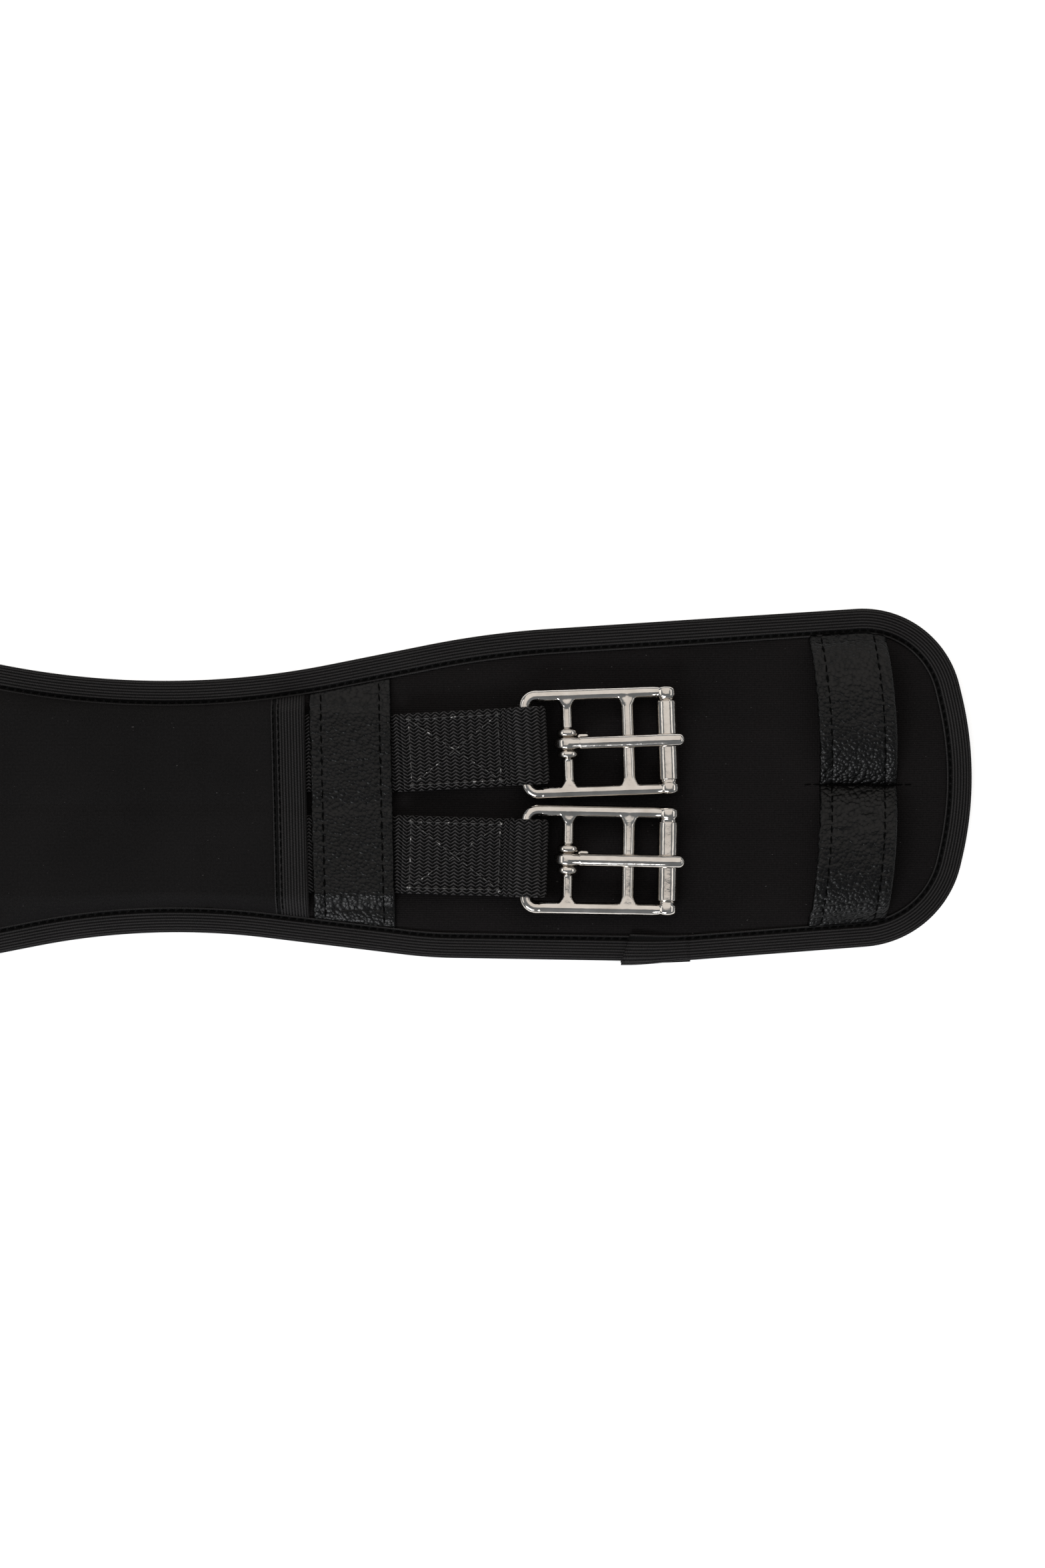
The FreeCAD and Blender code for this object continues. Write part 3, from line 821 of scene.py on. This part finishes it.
def cover_half(side, word):
    """Sections across the girth, one after another from its middle to the end tape."""
    points = 121
    share = (1 - np.cos(np.linspace(0, pi, points))) / 2
    reach = cover_end_x - tape_overlap
    net, flat = [], []
    for station in np.linspace(0, 1, 92):
        x = np.full(points, station * reach)
        for _ in range(3):
            rear, front = limits(x, binding_width - 0.0004)
            y = rear + (front - rear) * share
            x = station * (reach - y * tilt)
        free = tucked(y, rear, front, cover_tuck)
        crease = crease_depth * np.exp(-((x - crease_x) / crease_width) ** 2)
        top = cover_edge_height + (pad_height + cover_thickness - cover_edge_height) * free
        top = top + over_webbings(y, cover_run, cover_dip) * free - crease
        low = np.minimum(pad_height + over_webbings(y, 0.004, 0.0), top - 0.0004)
        loop = np.r_[np.c_[x, y, top], np.c_[x, y, low][-2:0:-4]]
        net.append(loop)
        flat.append(np.r_[loop[:, :2], loop[:1, :2]])
    piece = surface(f"cover_{word}", net, flat, [cover_jersey], side)
    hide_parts(f"cover_panel_{word}")
    if side > 0:
        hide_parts("cover_panel_middle")
    bend_at_waist(piece)


def laid_across(centre, along, rows, reach):
    """A strip from edge to edge of the girth: x and y at its rows and at places over its width,
    and how free it is of the binding there. centre(y) is the x of its middle line."""
    y = np.zeros((rows, len(along)))
    for _ in range(4):
        x = centre(y) + along[None]
        rear, front = limits(x, binding_width - 0.0003)
        y = rear + (front - rear) * np.linspace(0, 1, rows)[:, None]
    return x, y, tucked(y, rear, front, reach)


def ring_flat(first, second):
    """Cloth coordinates round a ring: the first column comes again at the end."""
    both = np.stack(np.broadcast_arrays(first, second), -1)
    return np.concatenate([both, both[:, :1]], 1)


away_from_binding = slice(3, -3)


def cover_tape(side, word):
    """The tape folded over the cover's end: a ribbed section carried across the girth."""
    line = [(-cover_tape_width, 0.0004, 0), (-cover_tape_width + 0.0012, tape, 0.0008),
            (0.0004, tape, 0.0012), (0.0008, -0.0018, 0.0006), (0.0006, -0.0021, 0)]
    outer, heading = rounded_path(line, rib_step)
    out = np.stack([-heading[:, 1], heading[:, 0]], 1)
    far = rib_step * np.arange(len(outer))
    skin = outer + out * (rib_height * np.abs(np.sin(pi * far / rib_pitch)) - rib_height)[:, None]
    inner = (outer - out * tape * 0.7)[::-6]
    section = np.r_[skin, inner]

    def end_line(y):
        return cover_end_x - y * tilt

    def top(y, free):
        open_height = pad_height + cover_thickness + over_webbings(y, cover_run, cover_dip)
        return cover_edge_height + (open_height - cover_edge_height) * free

    rows = 88
    x, y, free = laid_across(end_line, section[:, 0], rows, cover_tuck)
    z = np.maximum(top(y, free) + section[:, 1] * (0.35 + 0.65 * free), 0.0058)
    flat = ring_flat(y, np.r_[far, far[::-6]][None])
    net = np.stack([x, y, z], -1)
    piece = surface(f"cover_end_tape_{word}_ribbed", net, flat, [binding_tape], side)
    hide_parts(f"cover_end_tape_{word}")
    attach(piece, f"pad_{word}")
    rows_at = np.array([0.0009, 0.0025]) - cover_tape_width
    x, y, free = laid_across(end_line, rows_at, rows, cover_tuck)
    lines = np.stack([x, y, top(y, free) + tape * free + 0.00002], -1)[away_from_binding]
    sewn = stitches(
        f"cover_end_stitches_{word}", [lines[:, 0], lines[:, 1]], *tape_stitch, side, 11
    )
    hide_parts(f"cover_end_thread_{word}")
    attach(sewn, f"pad_{word}")


for side, word in halves:
    cover_half(side, word)
    cover_tape(side, word)


# ---- the anchor strips ----
# A strip of grained synthetic leather sewn across each end over the webbings with two rows of
# stitches. Its ends are caught under the binding.
strip_x = 0.1508
strip_width = 0.0262
strip_thickness = 0.0015
strip_edge_height = 0.0058
strip_run, strip_dip, strip_tuck = 0.0055, 0.0004, 0.0050
row_inset = 0.0037
row_dent, row_dent_width = 0.00030, 0.0006
stitch_sink = 0.00010
under_level = 0.00028
leather_stitch = (0.0034, 0.0028, 0.00056)


def leather_paint(tree):
    """Pebbled grain: small uneven cells, creased, glossier on top than in the creases; painted shade
    in the creases.
    """
    place, along, across = cloth_place(tree)
    warp = place.noise(0.0022, 2.0)
    shift = warp.node("ShaderNodeCombineXYZ", {"X": warp * 0.0006, "Y": warp * 0.0004})
    bent = place.node("ShaderNodeVectorMath", {0: place, 1: shift}, operation="ADD")
    pebble = 1 - bent.node("ShaderNodeTexVoronoi", {"Vector": bent, "Scale": 800.0}) ** 2.4 * 2.0
    fine = place.noise(0.0004, 3.0)
    wear = place.noise(0.009, 4.0).between(0.45, 0.75)
    # Painted shade: each pebble's colour darkens towards the creases round it.
    tone = pebble * 0.55 + fine * 0.2 + wear * 0.25
    height = pebble * 0.8 + fine * 0.22
    return {
        "Base Color": tone.between(0.35, 0.95).blend((0.0006,) * 3, (0.0075, 0.0070, 0.0072)),
        "Roughness": 0.38 - pebble * 0.12 + fine * 0.04,
        "Normal": height.bump(0.00022),
    }


leather = finish("grained leather", {"Specular IOR Level": 0.23}, leather_paint)


def strip_section(width, thickness):
    """A strip's section, its face drawn down along the two rows of stitches."""
    across, height = band_section(width, thickness, 31, 5)
    for row in (-width / 2 + row_inset, width / 2 - row_inset):
        dent = row_dent * np.exp(-((across - row) / row_dent_width) ** 2)
        height = height - dent * (height > 0)
    return across, height


def frayed_edge(across, width, rows):
    """Small uneven moves of a strip's cut edge, on the side of the girth's middle."""
    ragged = np.random.default_rng(8).normal(0, 1, (rows, 1))
    near_edge = np.clip(-across / (width / 2) - 0.93, 0, 1)
    return near_edge[None] * ragged * 0.0024


def anchor_strip(side, word):
    across, height = strip_section(strip_width, strip_thickness)

    def centre(y):
        return strip_x - y * tilt

    def middle(y, free):
        open_height = pad_height + strip_thickness / 2 + over_webbings(y, strip_run, strip_dip)
        return strip_edge_height + (open_height - strip_edge_height) * free

    rows = 108
    x, y, free = laid_across(centre, across, rows, strip_tuck)
    x = x + frayed_edge(across, strip_width, len(x))
    net = np.stack([x, y, middle(y, free) + height], -1)
    piece = surface(f"anchor_strip_{word}_leather", net, ring_flat(across[None], y), [leather], side)
    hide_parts(f"anchor_strip_{word}")
    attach(piece, f"pad_{word}")
    row_at = strip_width / 2 - row_inset
    x, y, free = laid_across(centre, np.array([-row_at, row_at]), rows, strip_tuck)
    over = np.stack([x, y, middle(y, free) + strip_thickness / 2 - stitch_sink], -1)[away_from_binding]
    under = over * (1, 1, 0) + (0, 0, under_level)
    lines = [over[:, 0], over[:, 1], under[:, 0], under[:, 1]]
    sewn = stitches(f"anchor_strip_stitches_{word}", lines, *leather_stitch, side, 13)
    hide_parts(f"anchor_strip_thread_{word}")
    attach(sewn, f"pad_{word}")


for side, word in halves:
    anchor_strip(side, word)


# ---- the roller buckles ----
# Cast and plated steel: a bent frame with a tongue bar, a cross bar and an axle; a tongue
# wrapped round its bar; and a rolled sleeve that turns on the axle.
def steel_paint(tree):
    place = tree.node("ShaderNodeTexCoord", out="Object")
    cloud = place.noise(0.006, 4.0)
    grain = place.noise(0.0009, 3.0)
    return {
        "Base Color": cloud.between(0.3, 0.75).blend((0.55, 0.515, 0.475), (0.70, 0.665, 0.625)),
        "Roughness": cloud * 0.10 + grain * 0.04 + 0.06,
        "Normal": (cloud * 2.0 + grain * 0.15).bump(0.00006),
    }


steel = finish("plated steel", {"Metallic": 1.0}, steel_paint)


def frame_growth(x, y):
    """How far a frame's skin grows, the share of that which goes across the girth, and how far it
    is squashed. The bosses at the axle and the collars at the tongue bar grow most. The outer
    flanks draw in instead, so that neighbours keep clear of each other when both stand up."""
    boss_x, boss_reach = 0.0453, 0.0036
    collar_x, collar_reach = 0.0133, 0.0034
    rear_bar_end = 0.0045
    outer = np.abs(y) > 0.0125
    boss = np.exp(-(((x - boss_x) / boss_reach) ** 6)) * outer
    collar = np.exp(-(((x - collar_x) / collar_reach) ** 6)) * (np.abs(y) < 0.0049)
    grown = 0.00020 + 0.00045 * boss + 0.00050 * collar - 0.00015 * (x < rear_bar_end)
    return grown, np.where(outer, -0.15, 1 - 0.9 * collar), np.zeros_like(x)


def tongue_growth(x, y):
    """The same for a tongue: its pin grows more than its ring, and its bent tail is squashed."""
    pin = x > 0.0172
    tail_side = 0.0019
    tail = (x > 0.0162) & (x < 0.0204) & (y > tail_side)
    squash = np.where(tail, (y - tail_side) * 0.5, 0)
    return np.where(pin, 0.00034, 0.00018), np.where(pin, 1.0, 0.4), squash


def swollen(mesh, side, place, growth):
    """Makes up for what smoothing took from a skin, and fills it out where growth says."""
    count = len(mesh.vertices)
    points, normals = np.empty(count * 3), np.empty(count * 3)
    mesh.vertices.foreach_get("co", points)
    mesh.vertices.foreach_get("normal", normals)
    points, normals = points.reshape(-1, 3), normals.reshape(-1, 3)
    back = np.array(strap_place(place).inverted())
    local = np.c_[points * (side, 1, 1), np.ones(count)] @ back.T
    grown, share, squash = growth(local[:, 0], local[:, 1])
    points[:, 1] -= squash
    points += normals * grown[:, None] * np.c_[np.ones(count), share, np.full(count, 0.7)]
    mesh.vertices.foreach_set("co", points.ravel())


def cast(part, side, word, place, voxel, passes, growth):
    """A casting from its CAD node: one skin, its inner corners filled and its outer ones worn."""
    node = f"buckle_{part}_{word}_{place}"
    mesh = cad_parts[node].data.copy()
    work = bmesh.new()
    work.from_mesh(mesh)
    bmesh.ops.remove_doubles(work, verts=work.verts, dist=cast_weld)
    work.to_mesh(mesh)
    work.free()
    rough = bpy.data.objects.new(f"rough_{node}", mesh)
    bpy.context.scene.collection.objects.link(rough)
    skin = rough.modifiers.new("skin", "REMESH")
    skin.mode = "VOXEL"
    skin.voxel_size = voxel
    skin.use_smooth_shade = True
    soften = rough.modifiers.new("soften", "SMOOTH")
    soften.factor = 0.5
    soften.iterations = passes
    graph = bpy.context.evaluated_depsgraph_get()
    finished = bpy.data.meshes.new_from_object(rough.evaluated_get(graph))
    bpy.data.objects.remove(rough)
    swollen(finished, side, place, growth)
    finished.materials.clear()
    finished.materials.append(steel)
    made = bpy.data.objects.new(f"{part}_{word}_{place}_cast", finished)
    bpy.context.scene.collection.objects.link(made)
    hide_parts(node)
    return made


cast_weld = 1e-6
castings = {  # the skin's voxel, its passes of smoothing, its growth, and the body it turns with
    "frame": (0.00030, 8, frame_growth, "buckle"),
    "tongue": (0.00024, 6, tongue_growth, "tongue"),
}
for side, word in halves:
    for place in straps:
        for part, (voxel, passes, growth, body) in castings.items():
            made = cast(part, side, word, place, voxel, passes, growth)
            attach(made, f"{body}_{word}_{place}")
        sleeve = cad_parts[f"buckle_roller_{word}_{place}"]
        sleeve.data.materials.clear()
        sleeve.data.materials.append(steel)


# ---- the keepers ----
# A leather strip across each end, sewn down at its middle and both ends, so that it stands up
# in two loops for the ends of the saddle's billets.
keeper_x = 0.3097
keeper_width = 0.0250
keeper_thickness = 0.0018
keeper_bow = 0.0037
keeper_rise = 0.0064
keeper_edge_height = 0.0056
keeper_tuck = 0.0045
seam_y, seam_depth, seam_width = 0.0009, 0.0013, 0.0009
seam_overrun = 0.0036
seam_stitch = (0.0026, 0.0023, 0.0005)
loops = ((-0.0423, -0.0003), (0.0021, 0.0470))


def keeper_line(y):
    """Height of the keeper's middle over the girth: flat where sewn, an arch at each loop."""
    z = np.full_like(y, pad_height + keeper_thickness / 2)
    for rear, front in loops:
        t = np.clip((y - rear) / (front - rear), 0, 1)
        z = z + keeper_rise * (1 - np.abs(2 * t - 1) ** 2.6) ** 1.05
    return z - seam_depth * np.exp(-((y - seam_y) / seam_width) ** 2)


def bow(y):
    """How far the keeper bows towards the girth's end."""
    middle = (loops[0][0] + loops[1][1]) / 2
    half = (loops[1][1] - loops[0][0]) / 2 + 0.003
    return keeper_bow * (1 - ((y - middle) / half) ** 2)


def keeper(side, word):
    across, height = strip_section(keeper_width, keeper_thickness)
    crumple = np.random.default_rng(21)
    wrinkles = [
        (crumple.uniform(-0.038, -0.006), crumple.uniform(0.4, 1.0), crumple.uniform(-0.4, 0.4))
        for _ in range(16)
    ]
    wrinkle_depth, wrinkle_width = 0.00022, 0.0008

    def centre(y):
        return keeper_x + bow(y)

    def placed(along, raised):
        """Points of the strip at places over its width, raised off its middle surface."""
        x, y, free = laid_across(centre, along, 136, keeper_tuck)
        middle = keeper_edge_height + (keeper_line(y) - keeper_edge_height) * free
        slope = np.gradient(middle, axis=0) / np.gradient(y, axis=0)
        lean = 1 / np.hypot(1, slope)
        crease = np.zeros_like(y)
        for at, depth, turn in wrinkles:
            across_it = (y - at - along * turn) / wrinkle_width
            crease -= depth * wrinkle_depth * np.exp(-(across_it ** 2))
        offset = raised + crease * (raised > 0)
        step = np.hypot(np.diff(y[:, 0]), np.diff(middle[:, 0]))
        far = np.r_[0, np.cumsum(step)][:, None]
        return np.stack([x, y - slope * lean * offset, middle + lean * offset], -1), far

    net, far = placed(across, height)
    net[..., 0] += frayed_edge(across, keeper_width, len(net))
    piece = surface(f"keeper_{word}_leather", net, ring_flat(across[None], far), [leather], side)
    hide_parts(f"keeper_{word}")
    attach(piece, f"pad_{word}")
    row_at = keeper_width / 2 - row_inset - 0.0003
    raised = np.full(2, keeper_thickness / 2 - stitch_sink)
    lines = placed(np.array([-row_at, row_at]), raised)[0][away_from_binding]
    rows = stitches(
        f"keeper_stitches_{word}", [lines[:, 0], lines[:, 1]], *leather_stitch, side, 17
    )
    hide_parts(f"keeper_thread_{word}")
    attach(rows, f"pad_{word}")
    points = 80
    half = keeper_width / 2
    x = np.linspace(-half - seam_overrun, half + seam_overrun, points)
    on_strip = np.abs(x) < half + 0.0001
    z = np.where(on_strip, pad_height + keeper_thickness - 0.0009, pad_height) + 0.00003
    over = np.c_[keeper_x + bow(seam_y) + x, np.full(points, seam_y), z]
    under = np.c_[over[:, :2], np.full(points, under_level)]
    sewn = stitches(f"keeper_seam_{word}", [over, under], *seam_stitch, side, 19)
    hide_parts(f"keeper_seam_thread_{word}")
    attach(sewn, f"pad_{word}")


for side, word in halves:
    keeper(side, word)
